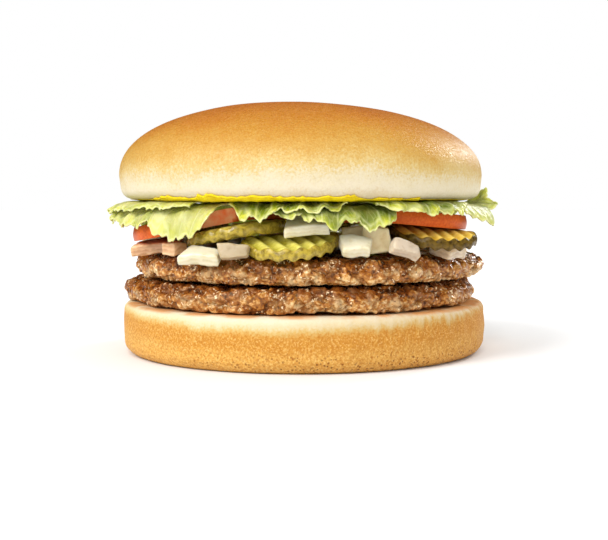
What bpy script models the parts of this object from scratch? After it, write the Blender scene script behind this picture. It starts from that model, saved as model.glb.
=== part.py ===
"""A double hamburger in a plain soft bun, in metres, +Z up.

The origin is the middle of the bun's flat underside. The front of the burger faces -Y, with +X to
the right. From the table up: bun bottom, two craggy beef patties, chopped onion, crinkle-cut pickle
slices, tomato slices, frilly lettuce leaves, a smear of mustard and the domed bun top. Every piece is
one object, and each lies on the one below it with a hairline of play.
"""

import math
import random
from collections import namedtuple

import bmesh
import bpy
from mathutils import Matrix, Vector, noise

MM = 0.001

# Driving dimensions.
BUN_RADIUS = 63.5 * MM
BUN_BOTTOM_HEIGHT = 17.5 * MM
BUN_TOP_HEIGHT = 33.6 * MM
PATTY_RADIUS = 60.2 * MM
PATTY_THICKNESS = 8.4 * MM
FILLING_HEIGHT = 18.1 * MM
TOMATO_THICKNESS = 4.7 * MM
PICKLE_THICKNESS = 3.3 * MM
ONION_THICKNESS = 3.6 * MM
LEAF_THICKNESS = 0.6 * MM
MUSTARD_THICKNESS = 0.5 * MM
PLAY = 0.4 * MM

# Levels that follow from them.
LOWER_PATTY_BASE = BUN_BOTTOM_HEIGHT + PLAY
UPPER_PATTY_BASE = LOWER_PATTY_BASE + PATTY_THICKNESS + PLAY
FILLING_BASE = UPPER_PATTY_BASE + PATTY_THICKNESS
BUN_TOP_BASE = FILLING_BASE + FILLING_HEIGHT

# The bun top: its widest level, the rounding under it and the fullness of its dome.
BUN_TOP_WIDEST = 8.0 * MM
BUN_TOP_ROUNDING = 4.0 * MM
BUN_TOP_FULLNESS = 2.13
BUN_TOP_LEAN = 2.6 * MM
BUN_SLIP = 0.6 * MM

CRINKLES = 7
CRINKLE_DEPTH = 0.45 * MM
ONIONS_AROUND = 20
ONIONS_INSIDE = 5
ONION_LEANING = 13
SEED = 11

# A round slice: centre, radius, height of its middle surface, how fast that rises to the right and
# to the back, and the direction in degrees in which it sags beyond a distance from its centre.
Slice = namedtuple("Slice", "name x y radius height rise_x rise_y sag_towards sag_from sag_slope")

TOMATOES = (
    Slice("tomato_left", -29.5, -20, 28.5, 49.2, 0.0, 0.0, 180, -12.5, 0.20),
    Slice("tomato_right", 28.0, -19, 28.0, 48.0, 0.0, 0.0, 0, 0, 0.10),
    Slice("tomato_back", 0.0, 36.5, 24.0, 47.7, 0.0, 0.0, 90, 6, 0.02),
)
TOMATO_CUT = -46
PICKLES = (
    Slice("pickle_left", -20.5, -39, 16.3, 44.5, 0.0, 0.0, 180, -7, 0.20),
    Slice("pickle_front", -3.6, -46.8, 15.5, 40.1, 0.055, 0.0, 270, 0, 0.26),
    Slice("pickle_right", 42.5, -34, 14.6, 41.95, -0.085, 0.0, 270, 1, 0.23),
    Slice("pickle_side", 41, 25, 14.5, 42.65, 0.0, 0.0, 20, 4, 0.02),
    Slice("pickle_back", 8, 44, 14.8, 42.65, 0.0, 0.0, 80, 2, 0.02),
    Slice("pickle_far_left", -42, 24, 14.2, 42.65, 0.0, 0.0, 150, 3, 0.02),
)
CRINKLE_DIRECTIONS = (65, 112, 105, 20, 75, 140)

# An onion piece: centre, then turn, nod and roll in degrees, then width and depth.
Onion = namedtuple("Onion", "x y z turn nod roll width depth")

FRONT_ONIONS = (
    Onion(-47.6, -27.6, 37.3, 8, 6, -6, 16.0, 11),
    Onion(-40.6, -45.4, 37.15, 60, 0, 0, 5.6, 6.6),
    Onion(-30.8, -53.6, 35.4, -22, 27, 4, 12, 6.2),
    Onion(-20.7, -58.1, 37.2, -4, 70, 0, 9.2, 4.4),
    Onion(1.4, -52.5, 44.6, 3, 17, -3, 12.8, 9),
    Onion(16.5, -55.8, 38.5, 4, 35, 4, 9.5, 7),
    Onion(16.4, -42.5, 40.4, 4, 88, 0, 7, 8),
    Onion(23.2, -49.0, 40.4, 0, 88, 0, 9.0, 8.6),
    Onion(31.6, -53.4, 37.7, 10, 48, 26, 10.2, 4.6),
    Onion(47.8, -37.0, 36.1, 42, 10, 3, 10.6, 7.4),
)

# A leaf: the sector that it spans in degrees, the radius of its inner end, the height of its flat
# inner part, the radius where it starts to fall, the radius and height of its rim at even steps along
# it, and its frill.
Leaf = namedtuple("Leaf", "name start end inner level bend rim_radius rim_height waves frill phase")

LEAVES = (
    Leaf("lettuce_left", 176, 243, 46, 51.15, 54.0,
         (62, 64.5, 66.5, 67, 67, 67, 67, 66.8, 66.5, 66.2, 65.5, 64, 60),
         (49, 47.5, 46.2, 45.4, 44.9, 44.6, 43.9, 44.2, 44.6, 43.2, 39.8, 41.4, 49), 6, 0.8, 0.6),
    Leaf("lettuce_left_fold", 172, 236, 30, 51.95, 58.0,
         (61, 67, 67.5, 67, 65.5, 62), (51.9, 50, 49.8, 50.4, 51.2, 51.9), 4, 0.5, 2.0),
    Leaf("lettuce_front", 247, 284, 30, 51.95, 50.0,
         (58, 60.5, 61.5, 61.5, 61, 60.5, 58), (51.6, 46.8, 47.8, 50, 50.2, 49.2, 51.9), 5, 1.0, 1.2),
    Leaf("lettuce_front_low", 258, 301, 46, 51.15, 47.0,
         (57, 59, 60.5, 61.2, 61.5, 62.2, 62.5, 62, 62, 62, 62, 61, 58),
         (48.5, 48, 47.6, 47.5, 47.4, 46, 43.6, 46.4, 45.4, 44.1, 45.2, 46.2, 50.6), 5, 0.5, 0.2),
    Leaf("lettuce_front_right", 292, 332, 30, 51.95, 57.5,
         (60, 62, 63.5, 64.5, 62), (51.9, 49.6, 49.2, 49.6, 51.9), 6, 0.6, 0.9),
    Leaf("lettuce_right", 326, 386, 30, 51.15, 60.0,
         (64, 65.4, 66.8, 68.3, 67.3, 64, 69.5, 66, 67.5, 66, 65.5, 65, 63),
         (48.2, 46.8, 45.3, 44.2, 45.8, 49.2, 51.2, 53.4, 57.3, 56, 53.6, 49.5, 46.5), 5, 0.5, 2.4),
    Leaf("lettuce_back_right", 28, 88, 24, 51.95, 60.0,
         (64, 65.5, 66.5, 66.5, 66.5, 65.5, 61), (45.5, 43, 41.5, 40, 38.5, 38.3, 51), 5, 1.2, 0.4),
    Leaf("lettuce_back", 90, 132, 24, 51.15, 60.4,
         (61.4, 65.5, 66, 65.5, 61.4), (50, 38.6, 36.9, 39, 50), 5, 1.2, 1.4),
    Leaf("lettuce_back_left", 134, 170, 24, 51.95, 60.0,
         (61, 66, 67, 65.5, 61), (51, 43, 41, 43.5, 51.9), 4, 1.0, 2.9),
)
LEAF_COLUMNS = 18
LEAF_ROWS = (0.0, 0.34, 0.56, 0.78, 1.0)


def smooth(x, low, high):
    """0 below low, 1 above high, and a smooth step in between."""
    t = min(1.0, max(0.0, (x - low) / (high - low)))
    return t * t * (3 - 2 * t)


def knots(values, share):
    """A smooth line through evenly spaced values, read at a share from 0 to 1."""
    place = min(max(share, 0.0), 1.0) * (len(values) - 1)
    first = min(int(place), len(values) - 2)
    return values[first] + (values[first + 1] - values[first]) * smooth(place - first, 0, 1)


def arc(centre_r, centre_z, size_r, size_z, start, end, steps):
    """Points of an elliptical arc in a turned profile, from one angle in degrees to another."""
    turns = (math.radians(start + (end - start) * i / steps) for i in range(steps + 1))
    return [(centre_r + size_r * math.cos(t), centre_z + size_z * math.sin(t)) for t in turns]


def look(name, colour, roughness):
    """A plain Principled material."""
    material = bpy.data.materials.new(name)
    material.use_nodes = True
    shader = material.node_tree.nodes["Principled BSDF"]
    shader.inputs["Base Color"].default_value = (*colour, 1.0)
    shader.inputs["Roughness"].default_value = roughness
    shader.inputs["Metallic"].default_value = 0.0
    return material


def add_object(name, shape, material, collection):
    """Makes the object of a bmesh, shaded smooth up to sharp edges."""
    mesh = bpy.data.meshes.new(name)
    shape.to_mesh(mesh)
    shape.free()
    mesh.materials.append(material)
    mesh.shade_smooth()
    mesh.set_sharp_from_angle(angle=math.radians(40))
    made = bpy.data.objects.new(name, mesh)
    collection.objects.link(made)
    return made


def add_turned(name, outline, segments, material, collection):
    """A sphere primitive whose rings take the points of outline(angle), from the top to the bottom."""
    rings = len(outline(0.0)) - 1
    shape = bmesh.new()
    bmesh.ops.create_uvsphere(shape, u_segments=segments, v_segments=rings, radius=1)
    for vertex in shape.verts:
        angle = math.atan2(vertex.co.y, vertex.co.x)
        ring = round(math.acos(max(-1.0, min(1.0, vertex.co.z))) / math.pi * rings)
        vertex.co = outline(angle)[ring]
    return add_object(name, shape, material, collection)


def around(angle, profile, shift_x=0.0):
    """A profile of (radius, height) stood at an angle, with its axis shifted to the right."""
    return [Vector((shift_x + r * math.cos(angle), r * math.sin(angle), z)) for r, z in profile]


def bun_out_of_round(angle):
    """The share by which the bun's outline swells or shrinks at an angle."""
    return 1 + 0.004 * math.sin(2 * angle + 0.6) + 0.003 * math.sin(3 * angle + 2.0)


def bun_bottom_outline(angle):
    """The bun bottom: flat above and below, upright sides, a small rounding at each edge."""
    radius = BUN_RADIUS * bun_out_of_round(angle)
    height = BUN_BOTTOM_HEIGHT
    upper, lower = 2.6 * MM, 4.6 * MM
    profile = [(0, height), (0.5 * radius, height)]
    profile += arc(radius - upper, height - upper, upper, upper, 90, 0, 3)
    profile += [(radius + 0.2 * MM, 0.55 * height)]
    profile += arc(radius - lower, lower, lower, lower, 0, -90, 4)
    profile += [(0.5 * radius, 0), (0, 0)]
    return around(angle, profile, BUN_SLIP)


def bun_top_outline(angle):
    """The bun top: a flat underside with a rounded edge and a full dome that leans a little left."""
    radius = BUN_RADIUS * bun_out_of_round(angle)
    widest = BUN_TOP_BASE + BUN_TOP_WIDEST
    dome = BUN_TOP_HEIGHT - BUN_TOP_WIDEST
    power = 2 / BUN_TOP_FULLNESS
    profile = []
    for step in range(8):
        turn = math.radians(90 * (1 - step / 7))
        out = abs(math.cos(turn)) ** power if step else 0.0
        profile.append((radius * out, widest + dome * math.sin(turn) ** power))
    rounding = BUN_TOP_ROUNDING
    inner = radius - 0.4 * MM - rounding
    profile += arc(inner, BUN_TOP_BASE + rounding, rounding, rounding, 0, -90, 3)
    profile += [(0.5 * radius, BUN_TOP_BASE), (0, BUN_TOP_BASE)]
    points = around(angle, profile, -BUN_SLIP)
    for point in points:
        lean = max(0.0, (point.z - widest) / dome)
        point.x -= BUN_TOP_LEAN * lean**2
        point.z += 0.5 * MM * lean * noise.noise(point / (24 * MM))
    return points


def mustard_outline(angle):
    """The smear of mustard: a thin disc whose edge squeezes out and climbs the bun top's rounding."""
    rounding = BUN_TOP_ROUNDING
    inner = BUN_RADIUS * bun_out_of_round(angle) - 0.4 * MM - rounding
    middle = BUN_TOP_BASE + rounding
    place = Vector((math.cos(angle), math.sin(angle), 0)) * 5.5
    lump = 0.5 + 0.5 * noise.noise(place) + 0.35 * noise.noise(place * 2.7)
    bead = (0.35 + 0.75 * max(0.0, lump)) * MM
    climb = -52 + 28 * smooth(lump, 0.1, 1.0)
    near = rounding + 0.3 * MM
    far = near + MUSTARD_THICKNESS
    profile = [(0, middle - near), (0.6 * inner, middle - near)]
    profile += arc(inner, middle, near, near, -90, climb, 3)
    profile += arc(inner, middle, near + bead, near + bead, climb, -64, 2)
    profile += [(inner, middle - far), (0.6 * inner, middle - far), (0, middle - far)]
    return around(angle, profile, -BUN_SLIP)


def patty_outline(base, centre_x, offset, lump_at):
    """The outline function of one craggy patty that stands on base; offset picks its own crags."""

    def outline(angle):
        thickness = PATTY_THICKNESS
        shift = Vector(offset)
        direction = Vector((math.cos(angle), math.sin(angle), 0))
        radius = PATTY_RADIUS + 1.1 * MM * noise.noise(direction * 2.4 + shift)
        turn = math.remainder(angle - math.radians(lump_at), math.tau)
        radius += 2.2 * MM * math.exp(-((turn / 0.09) ** 2))
        profile = [(0, thickness), (0.5 * radius, thickness), (radius - 7 * MM, thickness)]
        profile += arc(radius - 5 * MM, 0.42 * thickness, 5 * MM, 0.55 * thickness, 78, 0, 4)
        profile += arc(radius - 3.6 * MM, 0.40 * thickness, 3.6 * MM, 0.40 * thickness, -22, -90, 3)
        profile += [(0.5 * radius, 0), (0, 0)]
        points = around(angle, profile)
        for point, (_, height) in zip(points, profile):
            rim = smooth(point.xy.length, radius - 8 * MM, radius - 1 * MM)
            crag = noise.noise(point / (4.2 * MM) + shift) + 0.7 * noise.noise(point / (9 * MM) - shift)
            point.xy *= 1 + rim * 0.021 * crag
            wander = 0.9 * MM * rim * noise.noise(direction * 5 + shift)
            point.z = base + min(thickness, max(0.0, height + wander))
            point.x += centre_x
        return points

    return outline


def slice_height(piece, x, y):
    """The height of a slice's middle surface at a point of the plan, all in millimetres."""
    across, along = x - piece.x, y - piece.y
    towards = math.radians(piece.sag_towards)
    beyond = across * math.cos(towards) + along * math.sin(towards) - piece.sag_from
    sag = piece.sag_slope * (math.sqrt(beyond**2 + 9) + beyond) / 2
    return piece.height + piece.rise_x * across + piece.rise_y * along - sag


def tomato_outline(piece):
    """The outline function of a tomato slice, with its skin bulging round the edge."""

    def outline(angle):
        wobble = 1 + 0.02 * math.sin(3 * angle + piece.x) + 0.012 * math.sin(5 * angle)
        radius = (piece.radius - 0.8) * MM * wobble
        half = TOMATO_THICKNESS / 2
        profile = [(0, half), (0.55 * radius, half), (radius, half), (radius + 0.6 * MM, 0.5 * half)]
        profile += [(radius + 0.6 * MM, -0.5 * half), (radius, -half), (0.55 * radius, -half), (0, -half)]
        points = around(angle, profile)
        for point in points:
            point.x += piece.x * MM
            point.y = max(point.y + piece.y * MM, TOMATO_CUT * MM)
            point.z += slice_height(piece, point.x / MM, point.y / MM) * MM
        return points

    return outline


def add_sheet(name, columns, rows, place, thickness, material, collection):
    """A grid primitive laid on place(column share, row share) and thickened on both sides."""
    shape = bmesh.new()
    bmesh.ops.create_grid(shape, x_segments=columns, y_segments=rows, size=1)
    for vertex in shape.verts:
        vertex.co = place((vertex.co.x + 1) / 2, (vertex.co.y + 1) / 2)
    bmesh.ops.recalc_face_normals(shape, faces=shape.faces)
    made = add_object(name, shape, material, collection)
    shell = made.modifiers.new("Thickness", "SOLIDIFY")
    shell.thickness = thickness
    shell.offset = 0
    return made


def pickle_place(piece, direction):
    """The place function of a crinkle-cut pickle slice whose ridges run along a direction."""
    turn = math.radians(direction)
    rim = 0.975

    def place(across, along):
        offset = piece.radius * rim * (2 * across - 1)
        chord = math.sqrt(piece.radius**2 - offset**2) * (2 * along - 1)
        x = piece.x + chord * math.cos(turn) - offset * math.sin(turn)
        y = piece.y + chord * math.sin(turn) + offset * math.cos(turn)
        crest = CRINKLE_DEPTH * math.cos(math.tau * CRINKLES * across)
        return Vector((x * MM, y * MM, slice_height(piece, x, y) * MM + crest))

    return place


def onion_place(piece, twist):
    """The place function of a diced piece of onion scale: a bent four-sided plate."""
    turned = (
        Matrix.Rotation(math.radians(piece.turn), 3, "Z")
        @ Matrix.Rotation(math.radians(piece.nod), 3, "X")
        @ Matrix.Rotation(math.radians(piece.roll), 3, "Y")
    )
    centre = Vector((piece.x, piece.y, piece.z)) * MM

    def place(across, along):
        x = piece.width * (across - 0.5) * (1 - 0.22 * math.sin(twist) * (along - 0.5))
        y = piece.depth * (along - 0.5) * (1 + 0.35 * math.cos(2 * twist) * (across - 0.5))
        x += 0.12 * piece.width * math.cos(twist) * (along - 0.5)
        bow = 0.9 * (0.5 - 2 * (across - 0.5) ** 2)
        return centre + turned @ (Vector((x, y, bow)) * MM)

    return place


def lying_onion(draw, angle, reach):
    """An onion piece that lies flat on the upper patty at an angle in degrees and a radius."""
    turn = angle + draw.uniform(-25, 25)
    angle = math.radians(angle)
    size = draw.uniform(8.5, 11.5)
    height = (FILLING_BASE + PLAY + ONION_THICKNESS / 2) / MM + 0.2
    x, y = reach * math.cos(angle), reach * math.sin(angle)
    return Onion(x, y, height, turn, draw.uniform(-2, 2), draw.uniform(-2, 2), size, size * 0.85)


def lying_onions(draw):
    """Onion pieces in two rings round the sides and the back, and a few in the middle."""
    pieces = []
    for i in range(ONIONS_AROUND):
        reach = (51.5 if i % 2 else 37.0) + draw.uniform(-1.0, 1.5)
        piece = lying_onion(draw, -16 + 198 * i / (ONIONS_AROUND - 1), reach)
        # one piece behind leans on its neighbours
        if i == ONION_LEANING:
            piece = piece._replace(roll=32, z=piece.z + 2.4)
        pieces.append(piece)
    for i in range(ONIONS_INSIDE):
        pieces.append(lying_onion(draw, 20 + 360 * i / ONIONS_INSIDE, 17.0))
    return pieces


def leaf_place(leaf):
    """The place function of a lettuce leaf: flat inside, falling and frilling towards its rim."""

    def place(along, out):
        angle = math.radians(leaf.start + (leaf.end - leaf.start) * along)
        rim_r = knots(leaf.rim_radius, along)
        rim_z = knots(leaf.rim_height, along)
        flat_share = 0.45
        if out <= flat_share:
            r = leaf.inner + (leaf.bend - leaf.inner) * out / flat_share
            z = leaf.level
            fall = 0.0
        else:
            t = (out - flat_share) / (1 - flat_share)
            knee = leaf.bend + 0.8 * (rim_r - leaf.bend)
            r = (1 - t) ** 2 * leaf.bend + 2 * t * (1 - t) * knee + t * t * rim_r
            z = (1 - t * t) * leaf.level + t * t * rim_z
            fall = t
        wave = math.tau * leaf.waves * along + leaf.phase
        frill = leaf.frill * fall * min(1.0, 6 * along, 6 * (1 - along))
        z += frill * math.sin(wave)
        r += 0.5 * frill * math.sin(wave + 0.9)
        angle += 0.35 * frill / r * math.cos(wave)
        z = min(z, leaf.level + 1.2 * max(0.0, r - 62))
        return Vector((r * math.cos(angle), r * math.sin(angle), z)) * MM

    return place


def add_leaf(leaf, material, collection):
    """One lettuce leaf, with its rows of faces closer together towards the rim."""
    place = leaf_place(leaf)

    def rows_to_rim(along, out):
        return place(along, LEAF_ROWS[round(out * (len(LEAF_ROWS) - 1))])

    rows = len(LEAF_ROWS) - 1
    return add_sheet(leaf.name, LEAF_COLUMNS, rows, rows_to_rim, LEAF_THICKNESS, material, collection)


def clear_scene():
    for old in list(bpy.data.objects):
        bpy.data.objects.remove(old, do_unlink=True)


def build():
    clear_scene()
    burger = bpy.data.collections.new("double_hamburger")
    bpy.context.scene.collection.children.link(burger)
    crust = look("bun_crust", (0.80, 0.52, 0.22), 0.6)
    beef = look("beef", (0.24, 0.12, 0.06), 0.45)
    onion = look("onion", (0.88, 0.85, 0.72), 0.35)
    pickle = look("pickle", (0.55, 0.55, 0.12), 0.3)
    tomato = look("tomato", (0.70, 0.12, 0.05), 0.25)
    lettuce = look("lettuce", (0.62, 0.76, 0.26), 0.4)
    mustard = look("mustard", (0.95, 0.75, 0.05), 0.4)

    add_turned("bun_bottom", bun_bottom_outline, 46, crust, burger)
    add_turned("patty_lower", patty_outline(LOWER_PATTY_BASE, 0.0, (3.1, 0.4, 1.7), 186), 60, beef, burger)
    add_turned("patty_upper", patty_outline(UPPER_PATTY_BASE, 1.5 * MM, (8.3, 5.2, 2.9), 350), 60, beef, burger)
    draw = random.Random(SEED)
    for number, piece in enumerate([*FRONT_ONIONS, *lying_onions(draw)], 1):
        twist = draw.uniform(0, math.tau)
        place = onion_place(piece, twist)
        add_sheet(f"onion_{number:02d}", 3, 2, place, ONION_THICKNESS, onion, burger)
    for piece, direction in zip(PICKLES, CRINKLE_DIRECTIONS):
        place = pickle_place(piece, direction)
        add_sheet(piece.name, 2 * CRINKLES, 4, place, PICKLE_THICKNESS, pickle, burger)
    for piece in TOMATOES:
        add_turned(piece.name, tomato_outline(piece), 32, tomato, burger)
    for leaf in LEAVES:
        add_leaf(leaf, lettuce, burger)
    add_turned("mustard", mustard_outline, 46, mustard, burger)
    add_turned("bun_top", bun_top_outline, 46, crust, burger)


build()
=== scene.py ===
import math
import random
from collections import namedtuple

import bpy
from mathutils import Matrix, Vector, noise


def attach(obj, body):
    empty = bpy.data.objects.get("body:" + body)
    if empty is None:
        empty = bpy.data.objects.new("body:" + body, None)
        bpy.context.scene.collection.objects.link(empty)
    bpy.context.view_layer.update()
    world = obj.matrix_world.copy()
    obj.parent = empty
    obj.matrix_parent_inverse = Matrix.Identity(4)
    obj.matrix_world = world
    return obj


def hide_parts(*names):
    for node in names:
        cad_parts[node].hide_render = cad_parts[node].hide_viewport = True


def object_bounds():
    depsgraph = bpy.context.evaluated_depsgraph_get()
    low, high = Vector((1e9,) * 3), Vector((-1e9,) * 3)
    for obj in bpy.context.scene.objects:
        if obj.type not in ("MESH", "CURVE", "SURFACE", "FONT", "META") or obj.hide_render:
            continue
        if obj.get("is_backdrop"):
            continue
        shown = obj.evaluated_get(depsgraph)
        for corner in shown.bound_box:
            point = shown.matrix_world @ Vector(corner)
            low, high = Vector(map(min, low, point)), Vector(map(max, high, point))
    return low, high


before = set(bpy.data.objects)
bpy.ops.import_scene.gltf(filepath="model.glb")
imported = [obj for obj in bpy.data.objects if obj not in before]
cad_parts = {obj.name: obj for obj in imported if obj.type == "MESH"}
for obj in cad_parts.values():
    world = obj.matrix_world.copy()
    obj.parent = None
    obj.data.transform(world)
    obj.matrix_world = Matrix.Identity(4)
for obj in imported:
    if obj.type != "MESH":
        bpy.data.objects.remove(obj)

CAD_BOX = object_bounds()
MM = 0.001

# Sizes that the solids share.
BUN_RADIUS = 63.5 * MM
BUN_BOTTOM_HEIGHT = 17.5 * MM
BUN_TOP_HEIGHT = 33.6 * MM
BUN_TOP_WIDEST = 8.0 * MM
BUN_TOP_ROUNDING = 4.0 * MM
BUN_TOP_FULLNESS = 2.13
BUN_TOP_LEAN = 2.6 * MM
BUN_TOP_BASE = 53.2 * MM
BUN_SLIP = 0.6 * MM
PATTY_RADIUS = 60.2 * MM
PATTY_THICKNESS = 8.4 * MM
LOWER_PATTY_BASE = 17.9 * MM
UPPER_PATTY_BASE = 26.7 * MM
TOMATO_THICKNESS = 4.7 * MM
TOMATO_CUT = -46 * MM
PICKLE_THICKNESS = 3.3 * MM
CRINKLES = 7
CRINKLE_DEPTH = 0.45 * MM
ONION_THICKNESS = 3.6 * MM

# Sizes of the looks alone; the rounding of the onions is in millimetres.
ONION_ROUNDING = 0.75
LEAF_THICKNESS = 0.45 * MM

# How finely the turned pieces are divided all round.
BUN_SEGMENTS = 300
PATTY_SEGMENTS = 860
SLICE_SEGMENTS = 180
MUSTARD_SEGMENTS = 400

# Slices, in millimetres and degrees: the middle, radius and height of each, how it slopes, and towards
# which side, from where and how steeply it sags.
Slice = namedtuple("Slice", "name x y radius height rise_x rise_y sag_towards sag_from sag_slope")
TOMATOES = (
    Slice("tomato_left", -29.5, -20, 28.5, 49.2, 0.0, 0.0, 180, -12.5, 0.20),
    Slice("tomato_right", 28.0, -19, 28.0, 48.0, 0.0, 0.0, 0, 0, 0.10),
    Slice("tomato_back", 0.0, 36.5, 24.0, 47.7, 0.0, 0.0, 90, 6, 0.02),
)
PICKLES = (
    Slice("pickle_left", -20.5, -39, 16.3, 44.5, 0.0, 0.0, 180, -7, 0.20),
    Slice("pickle_front", -3.6, -46.8, 15.5, 40.1, 0.055, 0.0, 270, 0, 0.26),
    Slice("pickle_right", 42.5, -34, 14.6, 41.95, -0.085, 0.0, 270, 1, 0.23),
    Slice("pickle_side", 41, 25, 14.5, 42.65, 0.0, 0.0, 20, 4, 0.02),
    Slice("pickle_back", 8, 44, 14.8, 42.65, 0.0, 0.0, 80, 2, 0.02),
    Slice("pickle_far_left", -42, 24, 14.2, 42.65, 0.0, 0.0, 150, 3, 0.02),
)
CRINKLE_DIRECTIONS = (65, 112, 105, 20, 75, 140)

# Leaves, in degrees and millimetres: where each starts and ends round the burger, the radius of its inner
# edge, its level, the radius where it bends, its rim from end to end, and its large waves.
Leaf = namedtuple("Leaf", "name start end inner level bend rim_radius rim_height waves frill phase")
LEAVES = (
    Leaf("lettuce_left", 176, 243, 46, 51.15, 54.0,
         (62, 64.5, 66.5, 67, 67, 67, 67, 66.8, 66.5, 66.2, 65.5, 64, 60),
         (49, 47.5, 46.2, 45.4, 44.9, 44.6, 43.9, 44.2, 44.6, 43.2, 39.8, 41.4, 49), 6, 0.8, 0.6),
    Leaf("lettuce_left_fold", 172, 236, 30, 51.95, 58.0,
         (61, 67, 67.5, 67, 65.5, 62), (51.9, 50, 49.8, 50.4, 51.2, 51.9), 4, 0.5, 2.0),
    Leaf("lettuce_front", 247, 284, 30, 51.95, 50.0,
         (58, 60.5, 61.5, 61.5, 61, 60.5, 58), (51.6, 46.8, 47.8, 50, 50.2, 49.2, 51.9), 5, 1.0, 1.2),
    Leaf("lettuce_front_low", 258, 301, 46, 51.15, 47.0,
         (57, 59, 60.5, 61.2, 61.5, 62.2, 62.5, 62, 62, 62, 62, 61, 58),
         (48.5, 48, 47.6, 47.5, 47.4, 46, 43.6, 46.4, 45.4, 44.1, 45.2, 46.2, 50.6), 5, 0.5, 0.2),
    Leaf("lettuce_front_right", 292, 332, 30, 51.95, 57.5,
         (60, 62, 63.5, 64.5, 62), (51.9, 49.6, 49.2, 49.6, 51.9), 6, 0.6, 0.9),
    Leaf("lettuce_right", 326, 386, 30, 51.15, 60.0,
         (64, 65.4, 66.8, 68.3, 67.3, 64, 69.5, 66, 67.5, 66, 65.5, 65, 63),
         (48.2, 46.8, 45.3, 44.2, 45.8, 49.2, 51.2, 53.4, 57.3, 56, 53.6, 49.5, 46.5), 5, 0.5, 2.4),
    Leaf("lettuce_back_right", 28, 88, 24, 51.95, 60.0,
         (64, 65.5, 66.5, 66.5, 66.5, 65.5, 61), (45.5, 43, 41.5, 40, 38.5, 38.3, 51), 5, 1.2, 0.4),
    Leaf("lettuce_back", 90, 132, 24, 51.15, 60.4,
         (61.4, 65.5, 66, 65.5, 61.4), (50, 38.6, 36.9, 39, 50), 5, 1.2, 1.4),
    Leaf("lettuce_back_left", 134, 170, 24, 51.95, 60.0,
         (61, 66, 67, 65.5, 61), (51, 43, 41, 43.5, 51.9), 4, 1.0, 2.9),
)
# How green each leaf is, from 0, a pale heart leaf, to 1, then in millimetres its ruffles' length and
# depth, how much lower its very edge droops, and how long its teeth are.
LeafLook = namedtuple("LeafLook", "green length depth droop tooth")
LEAF_LOOKS = (
    LeafLook(0.0, 13.0, 1.1, 0.0, 0.9),
    LeafLook(0.1, 12.0, 0.8, 1.0, 0.6),
    LeafLook(0.95, 8.5, 1.3, 0.0, 1.0),
    LeafLook(0.65, 8.0, 1.2, 0.0, 0.8),
    LeafLook(0.80, 7.0, 0.9, 0.4, 0.8),
    LeafLook(0.5, 13.0, 0.6, 0.0, 0.35),
    LeafLook(0.55, 10.0, 1.0, 0.0, 1.0),
    LeafLook(0.45, 10.0, 1.0, 0.0, 1.0),
    LeafLook(0.55, 10.0, 1.0, 0.0, 1.0),
)


def smooth(x, low, high):
    """0 below low, 1 above high, and a smooth step in between."""
    t = min(1.0, max(0.0, (x - low) / (high - low)))
    return t * t * (3 - 2 * t)


def knots(values, share):
    """A smooth line through evenly spaced values, read at a share from 0 to 1."""
    place = min(max(share, 0.0), 1.0) * (len(values) - 1)
    first = min(int(place), len(values) - 2)
    return values[first] + (values[first + 1] - values[first]) * smooth(place - first, 0, 1)


def arc(centre_r, centre_z, size_r, size_z, start, end, steps):
    """Points of an elliptical arc in a turned profile, from one angle in degrees to another."""
    turns = (math.radians(start + (end - start) * i / steps) for i in range(steps + 1))
    return [(centre_r + size_r * math.cos(t), centre_z + size_z * math.sin(t)) for t in turns]


def line(first, last, steps):
    """Points of a straight stretch of a turned profile, without its last point."""
    shares = (i / steps for i in range(steps))
    return [(first[0] + (last[0] - first[0]) * t, first[1] + (last[1] - first[1]) * t) for t in shares]


# Meshes.

def add_mesh(name, points, faces, marks, material):
    """Makes a smooth object; marks holds one list of numbers for each named point attribute."""
    mesh = bpy.data.meshes.new(name)
    mesh.from_pydata(points, [], faces)
    for mark, values in marks.items():
        layer = mesh.attributes.new(mark, "FLOAT", "POINT")
        layer.data.foreach_set("value", values)
    mesh.materials.append(material)
    mesh.shade_smooth()
    made = bpy.data.objects.new(name, mesh)
    bpy.context.scene.collection.objects.link(made)
    return made


def stand_for(piece, node):
    """The piece rides with the burger and hides the CAD node."""
    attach(piece, "root")
    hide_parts(node)


def turned_faces(rings, segments):
    """Faces of a closed turned surface: a top point, rings of points, and a bottom point."""
    faces = []
    last = 1 + rings * segments
    for j in range(segments):
        k = (j + 1) % segments
        faces.append((0, 1 + j, 1 + k))
        base = 1 + (rings - 1) * segments
        faces.append((base + k, base + j, last))
    for i in range(rings - 1):
        for j in range(segments):
            k = (j + 1) % segments
            a, b = 1 + i * segments, 1 + (i + 1) * segments
            faces.append((a + j, b + j, b + k, a + k))
    return faces


def add_turned(name, outline, segments, material):
    """A closed surface whose points at each angle come from outline(angle), from top to bottom."""
    columns = [outline(math.tau * j / segments) for j in range(segments)]
    rings = len(columns[0][0]) - 2
    marks = {mark: [] for mark in columns[0][1]}
    points = []

    def take(j, i):
        points.append(columns[j][0][i])
        for mark in marks:
            marks[mark].append(columns[j][1][mark][i])

    take(0, 0)
    for i in range(1, rings + 1):
        for j in range(segments):
            take(j, i)
    take(0, rings + 1)
    return add_mesh(name, points, turned_faces(rings, segments), marks, material)


def around(angle, profile, shift_x=0.0):
    """A profile of (radius, height) stood at an angle, with its axis shifted to the right."""
    return [Vector((shift_x + r * math.cos(angle), r * math.sin(angle), z)) for r, z in profile]


# Each layer of noise is finer and weaker than the one before, and lies somewhere else.
OCTAVE_STEP = 2.13
OCTAVE_SHARE = 0.52
OCTAVE_SHIFT = Vector((3.1, 1.7, 5.3))


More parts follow.
